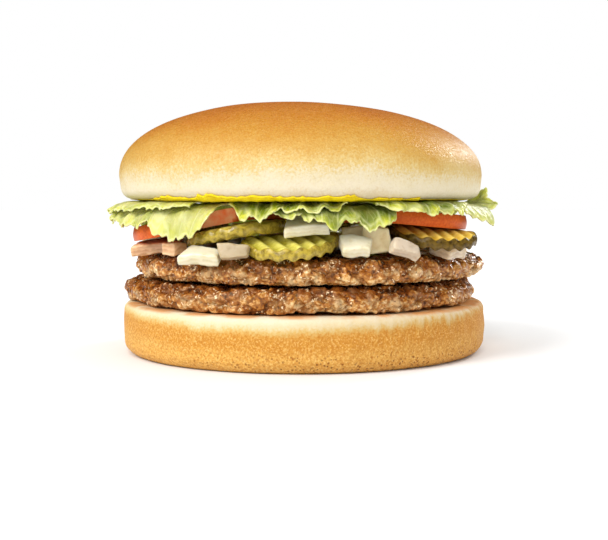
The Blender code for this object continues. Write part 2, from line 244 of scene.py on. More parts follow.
def fractal(point, size, octaves):
    """Layered noise of a feature size, between about -1 and 1."""
    total, share = 0.0, 1.0
    place = point / size
    for _ in range(octaves):
        total += share * noise.noise(place)
        place = place * OCTAVE_STEP + OCTAVE_SHIFT
        share *= OCTAVE_SHARE
    return total


# Buns.

DOME_STEPS = 70


def bun_out_of_round(angle):
    """The share by which the bun's outline swells or shrinks at an angle."""
    return 1 + 0.004 * math.sin(2 * angle + 0.6) + 0.003 * math.sin(3 * angle + 2.0)


def heel_border(angle):
    """The height where the bun bottom's pale band gives way to its baked side, in metres."""
    return (13.2 + 3.4 * math.cos(angle) ** 2 + 0.7 * math.cos(angle)) * MM


def bun_bottom_outline(angle):
    """The bun bottom: flat above and below, upright sides, a small rounding at each edge."""
    radius = BUN_RADIUS * bun_out_of_round(angle)
    height = BUN_BOTTOM_HEIGHT
    upper, lower = 2.6 * MM, 4.6 * MM
    profile = line((0, height), (radius - upper, height), 30)
    profile += arc(radius - upper, height - upper, upper, upper, 90, 2, 10)
    profile += line((radius, height - upper), (radius + 0.2 * MM, 0.55 * height), 6)
    profile += line((radius + 0.2 * MM, 0.55 * height), (radius, lower), 8)
    profile += arc(radius - lower, lower, lower, lower, 0, -90, 14)
    profile += line((radius - lower, 0), (0, 0), 12)[1:] + [(0, 0)]
    points = around(angle, profile, BUN_SLIP)
    baked, border = [], heel_border(angle)
    for point, (r, z) in zip(points, profile):
        border_here = border + 0.9 * MM * noise.noise(point / (13 * MM))
        baked.append((z - border_here) / MM)
        if r > 0.8 * radius and z > 0.3 * MM:
            inward = 0.3 * MM * fractal(point, 9 * MM, 3)
            point.xy *= 1 + inward / radius
    return points, {"baked": baked}


def bun_top_outline(angle):
    """The bun top: a flat underside with a rounded edge and a full dome that leans a little left."""
    radius = BUN_RADIUS * bun_out_of_round(angle)
    widest = BUN_TOP_BASE + BUN_TOP_WIDEST
    dome = BUN_TOP_HEIGHT - BUN_TOP_WIDEST
    power = 2 / BUN_TOP_FULLNESS
    profile = []
    for step in range(DOME_STEPS + 1):
        turn = math.radians(90 * (1 - step / DOME_STEPS))
        out = abs(math.cos(turn)) ** power if step else 0.0
        profile.append((radius * out, widest + dome * math.sin(turn) ** power))
    rounding = BUN_TOP_ROUNDING
    inner = radius - 0.4 * MM - rounding
    profile += line((radius, widest), (inner + rounding, BUN_TOP_BASE + rounding), 5)[1:]
    profile += arc(inner, BUN_TOP_BASE + rounding, rounding, rounding, 0, -90, 10)
    profile += line((inner, BUN_TOP_BASE), (0, BUN_TOP_BASE), 20)[1:] + [(0, BUN_TOP_BASE)]
    points = around(angle, profile, -BUN_SLIP)
    baked = []
    for point in points:
        lean = max(0.0, (point.z - widest) / dome)
        point.x -= BUN_TOP_LEAN * lean**2
        point.z += 0.5 * MM * lean * noise.noise(point / (24 * MM))
        drift = 2.2 * fractal(point, 21 * MM, 2)
        baked.append((point.z - BUN_TOP_BASE) / MM + drift + 3.0 * math.cos(angle) ** 2)
        if point.z > BUN_TOP_BASE + 0.2 * MM:
            point.xy *= 1 + 0.003 * fractal(point, 12 * MM, 3) * (1 - lean)
            wrinkle = noise.noise(Vector((angle * 19, point.z / (9 * MM), 0.0)))
            point.xy *= 1 + 0.0022 * wrinkle * smooth(point.z, widest + 4 * MM, BUN_TOP_BASE + 3 * MM)
    return points, {"baked": baked}


# Patties.

GULLY_SHIFT = Vector((0.05, 0, 0))


def granules(point, size):
    """Rounded crumbs of meat with creases between them: 1 on a crumb, 0 in a crease."""
    near = noise.voronoi(point / size)[0]
    return min(1.0, (near[1] - near[0]) * 1.6)


def profile_normals(profile):
    """The outward direction at each point of a turned profile that runs from top to bottom."""
    normals = []
    for i in range(len(profile)):
        r0, z0 = profile[max(i - 1, 0)]
        r1, z1 = profile[min(i + 1, len(profile) - 1)]
        length = math.hypot(r1 - r0, z1 - z0) or 1.0
        normals.append(((z0 - z1) / length, (r1 - r0) / length))
    return normals


def patty_profile(radius):
    """A patty's profile before its crags: flat above and below, with a full rim."""
    thickness = PATTY_THICKNESS
    inner, shoulder, foot = 14 * MM, 5 * MM, 3.6 * MM
    profile = line((0, thickness), (radius - inner, thickness), 4)
    profile += line((radius - inner, thickness), (radius - shoulder, 0.97 * thickness), 14)
    profile += arc(radius - shoulder, 0.42 * thickness, shoulder, 0.55 * thickness, 89, 0, 26)
    profile += arc(radius - foot, 0.40 * thickness, foot, 0.40 * thickness, 0, -90, 22)
    return profile + line((radius - foot, 0), (0, 0), 4)[1:] + [(0, 0)]


def meat_relief(place, direction):
    """How much strand, gully and crumb of minced meat there is at a place."""
    strand = fractal(place, 3.8 * MM, 3)
    gully = 1 - smooth(abs(fractal(place + GULLY_SHIFT, 6.5 * MM, 3)), 0.0, 0.3)
    crumb = granules(place + direction * 0.5 * MM * strand, 1.8 * MM)
    return strand, gully, crumb


def patty_outline(base, centre_x, offset, lump_at):
    """The outline function of one craggy patty that stands on base; offset picks its own crags."""
    shift = Vector(offset)

    def outline(angle):
        direction = Vector((math.cos(angle), math.sin(angle), 0))
        radius = PATTY_RADIUS + 1.1 * MM * noise.noise(direction * 2.4 + shift)
        turn = math.remainder(angle - math.radians(lump_at), math.tau)
        radius += 2.2 * MM * math.exp(-((turn / 0.09) ** 2))
        profile = patty_profile(radius)
        points = around(angle, profile)
        marks = {"crumb": [], "gully": [], "share": []}
        for point, (_, height), (out, up) in zip(points, profile, profile_normals(profile)):
            rim = smooth(point.xy.length, radius - 8 * MM, radius - 1 * MM)
            crag = noise.noise(point / (4.2 * MM) + shift) + 0.7 * noise.noise(point / (9 * MM) - shift)
            strand, gully, crumb = meat_relief(point + shift * MM * 40, direction)
            # The crumb mark follows the relief; the paint uses it for painted light and shade, lighter on
            # raised lumps and darker in low places.
            marks["crumb"].append(0.45 * crag + 0.6 * strand + 0.15 * crumb)
            marks["gully"].append(gully)
            marks["share"].append(height / PATTY_THICKNESS)
            swell = rim * (0.95 * strand - 0.6 * gully + 0.2 * (crumb - 0.7)) * MM
            point.xy *= 1 + rim * 0.021 * crag
            point.xy += direction.xy * out * swell
            wander = 0.9 * MM * rim * noise.noise(direction * 5 + shift)
            level = height + wander + swell * up
            dip = 0.0 if rim > 0.99 else 0.4 * MM * (gully + max(0.0, 0.2 - strand))
            dip *= smooth(height, 0.8 * PATTY_THICKNESS, PATTY_THICKNESS)
            point.z = base + min(PATTY_THICKNESS, max(0.0, level)) - dip
            point.x += centre_x
        return points, marks

    return outline


# Slices.

SAG_SOFTNESS = 3.0


def slice_height(piece, x, y):
    """The height of a slice's middle surface at a point of the plan, all in millimetres."""
    across, along = x - piece.x, y - piece.y
    towards = math.radians(piece.sag_towards)
    beyond = across * math.cos(towards) + along * math.sin(towards) - piece.sag_from
    sag = piece.sag_slope * (math.sqrt(beyond**2 + SAG_SOFTNESS**2) + beyond) / 2
    return piece.height + piece.rise_x * across + piece.rise_y * along - sag


def slice_profile(radius, half, bulge, rings, corner):
    """A slice's profile round its own middle surface: two flat faces joined by a bulging rim."""
    profile = line((0, half), (radius - corner, half), rings)
    profile += arc(radius - corner, half - corner, corner, corner, 90, 10, 4)
    profile += [(radius + bulge * (1 - k * k), half * 0.75 * k) for k in (0.6, 0.2, -0.2, -0.6)]
    profile += arc(radius - corner, corner - half, corner, corner, -10, -90, 4)
    profile += line((radius - corner, -half), (0, -half), rings)[1:] + [(0, -half)]
    return profile


def tomato_outline(piece):
    """The outline function of a tomato slice, with its skin bulging round the edge."""

    def outline(angle):
        wobble = 1 + 0.02 * math.sin(3 * angle + piece.x) + 0.012 * math.sin(5 * angle)
        radius = (piece.radius - 0.8) * MM * wobble
        profile = slice_profile(radius, TOMATO_THICKNESS / 2, 0.35 * MM, 26, 0.35 * MM)
        points = around(angle, profile)
        cut, share = [], []
        for point, (r, _) in zip(points, profile):
            point.x += piece.x * MM
            y = point.y + piece.y * MM
            cut.append(1.0 if y < TOMATO_CUT else 0.0)
            share.append(r / radius)
            point.y = max(y, TOMATO_CUT)
            point.z += slice_height(piece, point.x / MM, point.y / MM) * MM
        return points, {"cut": cut, "share": share}

    return outline


def pickle_outline(piece, direction):
    """The outline function of a crinkle-cut pickle slice whose ridges run along a direction."""
    turn = math.radians(direction)

    def outline(angle):
        radius = (piece.radius - 0.4) * MM * (1 + 0.012 * math.sin(3 * angle + piece.y))
        profile = slice_profile(radius, PICKLE_THICKNESS / 2, 0.35 * MM, 30, 0.55 * MM)
        points = around(angle, profile)
        share, ridge = [], []
        for point, (r, _) in zip(points, profile):
            offset = -point.x * math.sin(turn) + point.y * math.cos(turn)
            across = (offset / (piece.radius * MM * 0.975) + 1) / 2
            crest = math.cos(math.tau * CRINKLES * across)
            point.x += piece.x * MM
            point.y += piece.y * MM
            level = slice_height(piece, point.x / MM, point.y / MM) * MM
            point.z += level + CRINKLE_DEPTH * crest
            share.append(r / radius)
            ridge.append(crest)
        return points, {"share": share, "ridge": ridge}

    return outline


# Onions.

# Diced pieces, in millimetres and degrees: the middle of each, how it is turned, and its two sides.
Onion = namedtuple("Onion", "x y z turn nod roll width depth")
FRONT_ONIONS = (
    Onion(-47.6, -27.6, 37.3, 8, 6, -6, 16.0, 11),
    Onion(-40.6, -45.4, 37.15, 60, 0, 0, 5.6, 6.6),
    Onion(-30.8, -53.6, 35.4, -22, 27, 4, 12, 6.2),
    Onion(-20.7, -58.1, 37.2, -4, 70, 0, 9.2, 4.4),
    Onion(1.4, -52.5, 44.6, 3, 17, -3, 12.8, 9),
    Onion(16.5, -55.8, 38.5, 4, 35, 4, 9.5, 7),
    Onion(16.4, -42.5, 40.4, 4, 88, 0, 7, 8),
    Onion(23.2, -49.0, 40.4, 0, 88, 0, 9.0, 8.6),
    Onion(31.6, -53.4, 37.7, 10, 48, 26, 10.2, 4.6),
    Onion(47.8, -37.0, 36.1, 42, 10, 3, 10.6, 7.4),
)
ONIONS_AROUND = 20
ONIONS_INSIDE = 5
ONION_LEANING = 13
ONION_LYING_HEIGHT = 37.5
OUTER_REACH, INNER_REACH, MIDDLE_REACH = 51.5, 37.0, 17.0
AROUND_FROM, AROUND_SWEEP = -16, 198
ONION_CELLS = (18, 16, 8)
SEED = 11


def lying_onion(draw, angle, reach):
    """An onion piece that lies flat on the upper patty at an angle in degrees and a radius."""
    turn = angle + draw.uniform(-25, 25)
    angle = math.radians(angle)
    size = draw.uniform(8.5, 11.5)
    x, y = reach * math.cos(angle), reach * math.sin(angle)
    nod, roll = draw.uniform(-2, 2), draw.uniform(-2, 2)
    return Onion(x, y, ONION_LYING_HEIGHT, turn, nod, roll, size, size * 0.85)


def lying_onions(draw):
    """Onion pieces in two rings round the sides and the back, and a few in the middle."""
    pieces = []
    for i in range(ONIONS_AROUND):
        reach = (OUTER_REACH if i % 2 else INNER_REACH) + draw.uniform(-1.0, 1.5)
        piece = lying_onion(draw, AROUND_FROM + AROUND_SWEEP * i / (ONIONS_AROUND - 1), reach)
        # one piece behind leans on its neighbours
        if i == ONION_LEANING:
            piece = piece._replace(roll=32, z=piece.z + 2.4)
        pieces.append(piece)
    for i in range(ONIONS_INSIDE):
        pieces.append(lying_onion(draw, 20 + 360 * i / ONIONS_INSIDE, MIDDLE_REACH))
    return pieces


def onion_place(piece, twist):
    """The place function of a diced piece of onion scale: a bent four-sided plate."""
    turned = (
        Matrix.Rotation(math.radians(piece.turn), 3, "Z")
        @ Matrix.Rotation(math.radians(piece.nod), 3, "X")
        @ Matrix.Rotation(math.radians(piece.roll), 3, "Y")
    )
    centre = Vector((piece.x, piece.y, piece.z)) * MM

    def place(across, along, up):
        x = piece.width * (across - 0.5) * (1 - 0.22 * math.sin(twist) * (along - 0.5))
        y = piece.depth * (along - 0.5) * (1 + 0.35 * math.cos(2 * twist) * (across - 0.5))
        x += 0.12 * piece.width * math.cos(twist) * (along - 0.5)
        bow = 0.9 * (0.5 - 2 * (across - 0.5) ** 2)
        return centre + turned @ (Vector((x, y, bow + up / MM)) * MM)

    return place


def block_rings(counts):
    """The faces of a block of cells, as grid places, and whether each has to be turned over."""
    for fixed in range(3):
        a_count, b_count = (n for axis, n in enumerate(counts) if axis != fixed)
        for value in (0, counts[fixed]):
            for a in range(a_count):
                for b in range(b_count):
                    ring = ([a, b], [a + 1, b], [a + 1, b + 1], [a, b + 1])
                    for place in ring:
                        place.insert(fixed, value)
                    yield ring, (value > 0) == (fixed == 1)


def add_onion(name, piece, twist, material):
    """A diced onion piece: a block with rounded edges, laid along its bent plate."""
    half = (piece.width / 2, piece.depth / 2, ONION_THICKNESS / MM / 2)
    place = onion_place(piece, twist)
    index, points, faces, marks = {}, [], [], []

    def point(*key):
        if key not in index:
            index[key] = len(points)
            block = [-h * math.cos(math.pi * k / n) for h, k, n in zip(half, key, ONION_CELLS)]
            soft = ONION_ROUNDING * (1 + 0.9 * noise.noise(Vector(block) / 4 + Vector(piece[:3])))
            core = Vector([max(soft - h, min(h - soft, c)) for h, c in zip(half, block)])
            over = Vector(block) - core
            block = core + over.normalized() * soft if over.length else core
            spot = place(block.x / piece.width + 0.5, block.y / piece.depth + 0.5, block.z * MM)
            spot += Vector((0.6, 0.6, 1)) * (0.45 * MM * fractal(spot, 6 * MM, 3))
            points.append(spot)
            marks.append(block.z)
        return index[key]

    for ring, turned_over in block_rings(ONION_CELLS):
        corners = [point(*key) for key in ring]
        faces.append(corners[::-1] if turned_over else corners)
    return add_mesh(name, points, faces, {"layer": marks}, material)


# Lettuce.

LEAF_COLUMNS_PER_DEGREE = 3.8
LEAF_ROWS = 42
FLAT_SHARE = 0.45

# In millimetres: the radius of the leaves' rim, the radius where they clear the bun, and a crimp's length.
RIM_RADIUS = 66
CLEAR_RADIUS = 62
CRIMP_LENGTH = 3.2


def leaf_row(out):
    """Rows of a leaf are closer together towards the rim."""
    return out**0.75


def leaf_bend(leaf, rim, out, reach, inside, droop):
    """A leaf's radius, height and fall before it ruffles: level inside, then bent down to its rim."""
    if out <= FLAT_SHARE:
        r = leaf.inner + (leaf.bend - leaf.inner) * out / FLAT_SHARE
        return r, leaf.level + inside, 0.0
    rim_r, rim_z = rim
    fall = (out - FLAT_SHARE) / (1 - FLAT_SHARE)
    t = fall * (1 + (reach - 1) * fall)
    knee = leaf.bend + 0.8 * (rim_r - leaf.bend)
    r = (1 - t) ** 2 * leaf.bend + 2 * t * (1 - t) * knee + t * t * rim_r
    z = (1 - t * t) * leaf.level + t * t * rim_z + inside * (1 - fall) - droop * fall**2
    return r, z, fall


def leaf_place(leaf, look):
    """The place function of a lettuce leaf: nearly flat inside, falling and frilling towards its rim."""
    shift = Vector((leaf.start, leaf.level, leaf.phase))

    def own(x, y, z):
        """Noise of this leaf's own."""
        return noise.noise(Vector((x, y, z)) + shift)

    def place(along, out):
        angle = math.radians(leaf.start + (leaf.end - leaf.start) * along)
        rim = knots(leaf.rim_radius, along), knots(leaf.rim_height, along)
        length = math.hypot(rim[0] - leaf.bend, rim[1] - leaf.level)
        teeth = 0.5 - abs(own(angle * 24, 1, 0)) * 2
        teeth += 0.7 * own(angle * 70, 2, 0)
        reach = 1 + (0.7 * own(angle * 8, 0, 0) + look.tooth * teeth) / max(length, 6)
        inside = 0.25 + 0.5 * own(angle * 7, out * 6, 3)
        r, z, fall = leaf_bend(leaf, rim, out, reach, inside, look.droop)
        wave = math.tau * leaf.waves * along + leaf.phase
        ends = min(1.0, 6 * along, 6 * (1 - along))
        frill = leaf.frill * fall * ends
        z += frill * math.sin(wave)
        r += 0.5 * frill * math.sin(wave + 0.9)
        angle += 0.35 * frill / r * math.cos(wave)
        wander = own(angle * 4, fall * 0.8, 2)
        swell = 0.4 + 1.1 * abs(own(angle * 6, 0, 5))
        ruffle = look.depth * swell * ends * fall**1.2
        crimp = 0.4 * swell * ends * fall**4
        second = angle * RIM_RADIUS / look.length * math.tau + wander * 7
        third = angle * RIM_RADIUS / CRIMP_LENGTH * math.tau + wander * 16
        crease = 1.6 * abs(math.sin(second / 2)) - 0.9
        z += ruffle * (0.55 * math.sin(second) + 0.6 * crease) + crimp * math.sin(third)
        r += 1.1 * ruffle * math.cos(second + 0.6) + crimp * math.cos(third)
        z += 0.45 * fall * own(angle * 28, out * 9, 0)
        r += 0.4 * fall * own(angle * 17, out * 6, 7)
        z = min(z, leaf.level + inside + 1.2 * max(0.0, r - CLEAR_RADIUS))
        # crest: how far a point lies on the outward side of a ruffle; the paint uses it for painted shade
        # on the inward side.
        crest = ends * fall * (0.7 * math.cos(second + 0.6) + 0.3 * math.cos(third))
        return Vector((r * math.cos(angle), r * math.sin(angle), z)) * MM, (1 - fall) * length, crest

    return place


def add_leaf(leaf, place, material):
    """One lettuce leaf as a thin sheet, marked with its millimetres to the rim and round the burger."""
    columns = round(LEAF_COLUMNS_PER_DEGREE * (leaf.end - leaf.start))
    points, edges, alongs, crests = [], [], [], []
    for j in range(LEAF_ROWS + 1):
        out = leaf_row(j / LEAF_ROWS)
        for i in range(columns + 1):
            along = i / columns
            point, edge, crest = place(along, out)
            points.append(point)
            edges.append(edge)
            crests.append(crest)
            alongs.append(math.radians(leaf.end - leaf.start) * CLEAR_RADIUS * along)
    step = columns + 1
    faces = []
    for j in range(LEAF_ROWS):
        for i in range(columns):
            a = j * step + i
            faces.append((a, a + step, a + step + 1, a + 1))
    marks = {"edge": edges, "along": alongs, "crest": crests}
    made = add_mesh(leaf.name + "_leaf", points, faces, marks, material)
    shell = made.modifiers.new("Thickness", "SOLIDIFY")
    shell.thickness = LEAF_THICKNESS
    shell.offset = 0
    return made


# Mustard.

# Dabs of mustard beside the main smear: the angle and width of each, in degrees.
MUSTARD_DABS = ((294.5, 2.6), (300, 2.6), (306.5, 2.2), (20, 3.0), (64, 5.0), (120, 6.0), (160, 4.0))


def squeezed(angle):
    """How much mustard shows at an angle: most at the front left, and dabs at the right and behind."""
    turn = math.degrees(angle) % 360
    show = smooth(turn, 214, 226) * (1 - smooth(turn, 284, 292))
    for dab, width in MUSTARD_DABS:
        show = max(show, 0.8 * math.exp(-(((turn - dab) / width) ** 4)))
    return show


def mustard_outline(angle):
    """The smear of mustard: a thin disc whose edge squeezes out and climbs the bun top's rounding."""
    rounding = BUN_TOP_ROUNDING
    inner = BUN_RADIUS * bun_out_of_round(angle) - 0.4 * MM - rounding
    middle = BUN_TOP_BASE + rounding
    place = Vector((math.cos(angle), math.sin(angle), 0)) * 5.5
    lump = 0.5 + 0.5 * noise.noise(place) + 0.4 * noise.noise(place * 3.1)
    fine = 0.5 * noise.noise(place * 6) + 0.5 * noise.noise(place * 15)
    show = squeezed(angle)
    bead = (0.2 + (0.3 + 0.4 * max(0.0, lump) + 0.5 * fine) * show) * MM
    climb = -82 + (20 + 24 * smooth(lump, 0.1, 1.0) + 20 * fine) * show
    near = rounding + 0.08 * MM
    far = rounding + 0.8 * MM
    tip = math.radians(climb)
    thick = bead / 2
    centre = near + thick
    profile = line((0, middle - near), (inner, middle - near), 6)
    profile += arc(inner, middle, near, near, -90, climb, 8)
    tip_r, tip_z = inner + centre * math.cos(tip), middle + centre * math.sin(tip)
    profile += arc(tip_r, tip_z, thick, thick, 180 + climb - 20, climb - 60, 8)
    profile += arc(inner, middle, near + bead, near + bead, climb - 6, -89, 6)
    profile += line((inner - 4 * MM, middle - far), (0, middle - far), 6) + [(0, middle - far)]
    return around(angle, profile, -BUN_SLIP), {}


# Materials.

def srgb(red, green, blue):
    """A colour as a picture shows it, turned to the linear values that a shader takes."""
    parts = (c / 255 for c in (red, green, blue))
    return tuple(c / 12.92 if c <= 0.04045 else ((c + 0.055) / 1.055) ** 2.4 for c in parts) + (1.0,)


class Paint:
    """Builds one Principled material out of procedural nodes."""

    def __init__(self, name):
        self.material = bpy.data.materials.new(name)
        self.material.use_nodes = True
        self.tree = self.material.node_tree
        self.shader = self.tree.nodes["Principled BSDF"]
        self.place = self.node("ShaderNodeTexCoord").outputs["Object"]

    def node(self, kind, values=None, **settings):
        made = self.tree.nodes.new(kind)
        for key, value in settings.items():
            setattr(made, key, value)
        for key, value in (values or {}).items():
            self.put(made.inputs[key], value)
        return made

    def put(self, socket, value):
        """Sets a socket, or links it where the value is another node's output."""
        if isinstance(value, bpy.types.NodeSocket):
            self.tree.links.new(value, socket)
        else:
            socket.default_value = value

    def finish(self, **values):
        for key, value in values.items():
            self.put(self.shader.inputs[key.replace("_", " ")], value)
        return self.material

    def soften(self, weight, radius):
        """Lets light sink in, as far as the radius in metres of red, green and blue says."""
        self.finish(Subsurface_Weight=weight, Subsurface_Radius=radius, Subsurface_Scale=1.0)

    def mark(self, name):
        """A point attribute of the mesh."""
        return self.node("ShaderNodeAttribute", attribute_name=name).outputs["Fac"]

    def noise(self, size, detail, roughness=0.55, stretch=None):
        """Noise of a feature size in metres, from 0 to 1."""
        place = self.place
        if stretch:
            place = self.node("ShaderNodeMapping", {"Vector": place, "Scale": stretch}).outputs[0]
        values = {"Vector": place, "Scale": 1 / size, "Detail": detail, "Roughness": roughness}
        return self.node("ShaderNodeTexNoise", values).outputs["Fac"]

    def cells(self, size, feature="F1"):
        """The distance to the nearest of scattered points, for cells of a size in metres."""
        values = {"Vector": self.place, "Scale": 1 / size}
        return self.node("ShaderNodeTexVoronoi", values, feature=feature).outputs["Distance"]

    def net(self, place, scale, randomness):
        """The distance to the nearest border between cells."""
        values = {"Vector": place, "Scale": scale, "Randomness": randomness}
        return self.node("ShaderNodeTexVoronoi", values, feature="DISTANCE_TO_EDGE").outputs["Distance"]

    def axis(self, name):
        """How far a point lies along an axis, in metres."""
        return self.node("ShaderNodeSeparateXYZ", {"Vector": self.place}).outputs[name]

    def math(self, operation, first, second=0.0):
        made = self.node("ShaderNodeMath", operation=operation)
        self.put(made.inputs[0], first)
        self.put(made.inputs[1], second)
        return made.outputs[0]

    def times(self, first, second):
        return self.math("MULTIPLY", first, second)

    def plus(self, first, second):
        return self.math("ADD", first, second)

    def span(self, value, low, high, to_low=0.0, to_high=1.0):
        """Maps one range of numbers onto another, held at its ends."""
        values = {"Value": value, "From Min": low, "From Max": high, "To Min": to_low, "To Max": to_high}
        return self.node("ShaderNodeMapRange", values).outputs[0]

    def sway(self, value, reach):
        """Noise as a number between minus and plus its reach."""
        return self.span(value, 0.3, 0.7, -reach, reach)

    def ramp(self, value, stops):
        """A colour ramp of (place, colour) stops."""
        made = self.node("ShaderNodeValToRGB", {"Fac": value})
        bar = made.color_ramp
        while len(bar.elements) < len(stops):
            bar.elements.new(1.0)
        for element, (place, colour) in zip(bar.elements, stops):
            element.position = place
            element.color = colour
        return made.outputs["Color"]

    def mix(self, share, first, second):
        """A colour between two others."""
        made = self.node("ShaderNodeMix", data_type="RGBA")
        self.put(made.inputs["Factor"], share)
        self.put(made.inputs[6], first)
        self.put(made.inputs[7], second)
        return made.outputs[2]

    def bump(self, height, depth, strength, below=None):
        """Fine relief, laid over the relief below it."""
        values = {"Height": height, "Distance": depth, "Strength": strength}
        if below:
            values["Normal"] = below
        return self.node("ShaderNodeBump", values).outputs[0]


def bun_top_paint():
    paint = Paint("bun_top_crust")
    fine = paint.noise(0.8 * MM, 4.0, 0.7)
    blotch = paint.noise(5 * MM, 3.0)
    baked = paint.plus(paint.mark("baked"), paint.sway(fine, 2.8))
    baked = paint.plus(baked, paint.sway(blotch, 1.0))
    colour = paint.ramp(paint.span(baked, 0.0, 35.0), [
        (0.00, srgb(216, 198, 162)),
        (0.08, srgb(222, 210, 182)),
        (0.20, srgb(219, 205, 168)),
        (0.31, srgb(211, 183, 116)),
        (0.43, srgb(201, 158, 76)),
        (0.57, srgb(195, 141, 52)),
        (0.71, srgb(191, 124, 36)),
        (0.90, srgb(183, 104, 24)),
    ])
    speck = paint.span(paint.cells(2.6 * MM), 0.0, 0.16, 0.5, 0.0)
    speck = paint.times(speck, paint.span(blotch, 0.5, 0.7))
    colour = paint.mix(speck, colour, srgb(150, 78, 22))
    sand = paint.noise(0.55 * MM, 3.0, 0.7)
    crust = paint.span(baked, 3.0, 18.0, 0.25, 1.0)
    dark = paint.times(paint.span(sand, 0.52, 0.36, 0.0, 0.20), crust)
    colour = paint.mix(dark, colour, srgb(156, 76, 14))
    light = paint.times(paint.span(sand, 0.52, 0.66, 0.0, 0.12), crust)
    colour = paint.mix(light, colour, srgb(240, 200, 120))
    rough = paint.span(paint.noise(1.1 * MM, 3.0), 0.35, 0.65, 0.3, 0.6)
    bump = paint.bump(paint.noise(4 * MM, 2.0), 0.2 * MM, 0.5)
    bump = paint.bump(fine, 0.25 * MM, 0.9, bump)
    return paint.finish(Base_Color=colour, Roughness=rough, Normal=bump, Specular_IOR_Level=0.34)


def bun_bottom_paint():
    paint = Paint("bun_bottom_crust")
    streak = paint.noise(2.2 * MM, 4.0, 0.6, (1.0, 1.0, 0.12))
    side, height = paint.axis("X"), paint.axis("Z")
    fine = paint.noise(0.8 * MM, 4.0, 0.65)
    streaky = paint.times(paint.sway(streak, 2.0), paint.span(side, 10 * MM, 50 * MM, 0.2, 1.0))
    border = paint.plus(paint.mark("baked"), paint.sway(fine, 0.7))
    border = paint.plus(border, streaky)
    colour = paint.ramp(paint.span(border, -14.0, 6.0), [
        (0.00, srgb(226, 172, 86)),
        (0.28, srgb(222, 172, 86)),
        (0.46, srgb(208, 148, 58)),
        (0.62, srgb(206, 150, 64)),
        (0.69, srgb(211, 178, 108)),
        (0.76, srgb(219, 202, 158)),
        (0.88, srgb(224, 214, 186)),
        (1.00, srgb(224, 210, 178)),
    ])
    # Painted shade: the bun bottom grows darker towards its right side, away from the key light.
    shade = paint.span(side, -20 * MM, 55 * MM, 0.0, 0.3)
    colour = paint.mix(shade, colour, srgb(168, 104, 40))
    baked = paint.span(border, 0.0, -2.5)
    grainy = paint.times(paint.span(fine, 0.60, 0.40, 0.0, 0.55), baked)
    colour = paint.mix(grainy, colour, srgb(180, 112, 34))
    sand = paint.noise(0.6 * MM, 3.0, 0.7)
    light = paint.times(paint.span(sand, 0.52, 0.64, 0.0, 0.5), baked)
    colour = paint.mix(light, colour, srgb(242, 204, 128))
    dark = paint.times(paint.span(sand, 0.48, 0.36, 0.0, 0.45), baked)
    colour = paint.mix(dark, colour, srgb(170, 98, 30))
    toast = paint.span(height, 16.7 * MM, 17.35 * MM, 0.0, 0.75)
    toast = paint.times(toast, paint.span(paint.noise(9 * MM, 2.0), 0.35, 0.55))
    colour = paint.mix(toast, colour, srgb(208, 132, 50))
    pores = paint.span(paint.cells(1.15 * MM), 0.18, 0.32, 1.0, 0.0)
    low = paint.span(height, 8.0 * MM, 3.0 * MM, 0.0, 1.0)
    low = paint.times(low, paint.span(side, -45 * MM, 5 * MM, 0.3, 1.0))
    patchy = paint.span(paint.noise(9 * MM, 2.0), 0.36, 0.50)
    pit = paint.times(paint.times(pores, low), patchy)
    colour = paint.mix(paint.times(pit, 0.8), colour, srgb(140, 70, 24))
    bump = paint.bump(pit, -0.3 * MM, 1.0)
    bump = paint.bump(streaky, 0.12 * MM, 0.7, bump)
    bump = paint.bump(sand, 0.16 * MM, 0.9, bump)
    return paint.finish(Base_Color=colour, Roughness=0.6, Normal=bump, Specular_IOR_Level=0.15)


def beef_paint():
    paint = Paint("seared_beef")
    crumb = paint.mark("crumb")
    share = paint.mark("share")
    drift = paint.noise(6 * MM, 3.0)
    grain = paint.noise(1.2 * MM, 5.0, 0.62)
    # Partly the meat's own browning, darker towards each patty's top, and partly painted shade: through
    # the crumb mark the raised lumps are lighter and the low places darker.
    sear = paint.plus(paint.times(crumb, 0.42), paint.span(drift, 0.3, 0.7, 0.2, 0.8))
    sear = paint.plus(sear, paint.sway(grain, 0.42))
    sear = paint.plus(sear, paint.span(share, 0.35, 0.95, 0.14, -0.24))
    colour = paint.ramp(paint.span(sear, 0.02, 0.92), [
        (0.00, srgb(52, 18, 2)),
        (0.20, srgb(100, 46, 10)),
        (0.42, srgb(148, 82, 24)),
        (0.66, srgb(184, 120, 52)),
        (0.84, srgb(212, 158, 90)),
        (1.00, srgb(238, 200, 142)),
    ])
    glaze = paint.span(paint.noise(6 * MM, 4.0, 0.6), 0.47, 0.59, 0.0, 0.8)
    glaze = paint.times(glaze, paint.span(share, 0.2, 0.7, 0.3, 1.0))
    colour = paint.mix(glaze, colour, srgb(112, 52, 12))
    # Painted shade in the creases between the crumbs.
    colour = paint.mix(paint.times(paint.mark("gully"), 0.4), colour, srgb(62, 26, 6))
    # Painted shade: small dark spots that stand for shadowed pits between the lumps.
    pits = paint.span(paint.noise(1.3 * MM, 4.0, 0.65), 0.44, 0.32, 0.0, 0.85)
    colour = paint.mix(pits, colour, srgb(60, 24, 6))
    # Painted highlights: small near-white glints, gathered in patches.
    gleams = paint.span(paint.noise(3.2 * MM, 2.0), 0.50, 0.60, 0.0, 1.0)
    grease = paint.times(paint.span(paint.noise(0.9 * MM, 2.0), 0.575, 0.645), gleams)
    colour = paint.mix(grease, colour, srgb(255, 230, 186))
    wet = paint.span(paint.noise(2.4 * MM, 4.0), 0.40, 0.52, 0.45, 0.1)
    bump = paint.bump(paint.cells(1.8 * MM, "SMOOTH_F1"), -0.5 * MM, 0.5)
    bump = paint.bump(grain, 0.4 * MM, 0.7, bump)
    return paint.finish(Base_Color=colour, Roughness=wet, Normal=bump, Specular_IOR_Level=1.0,
                        Specular_Tint=(1.0, 0.7, 0.42, 1.0))


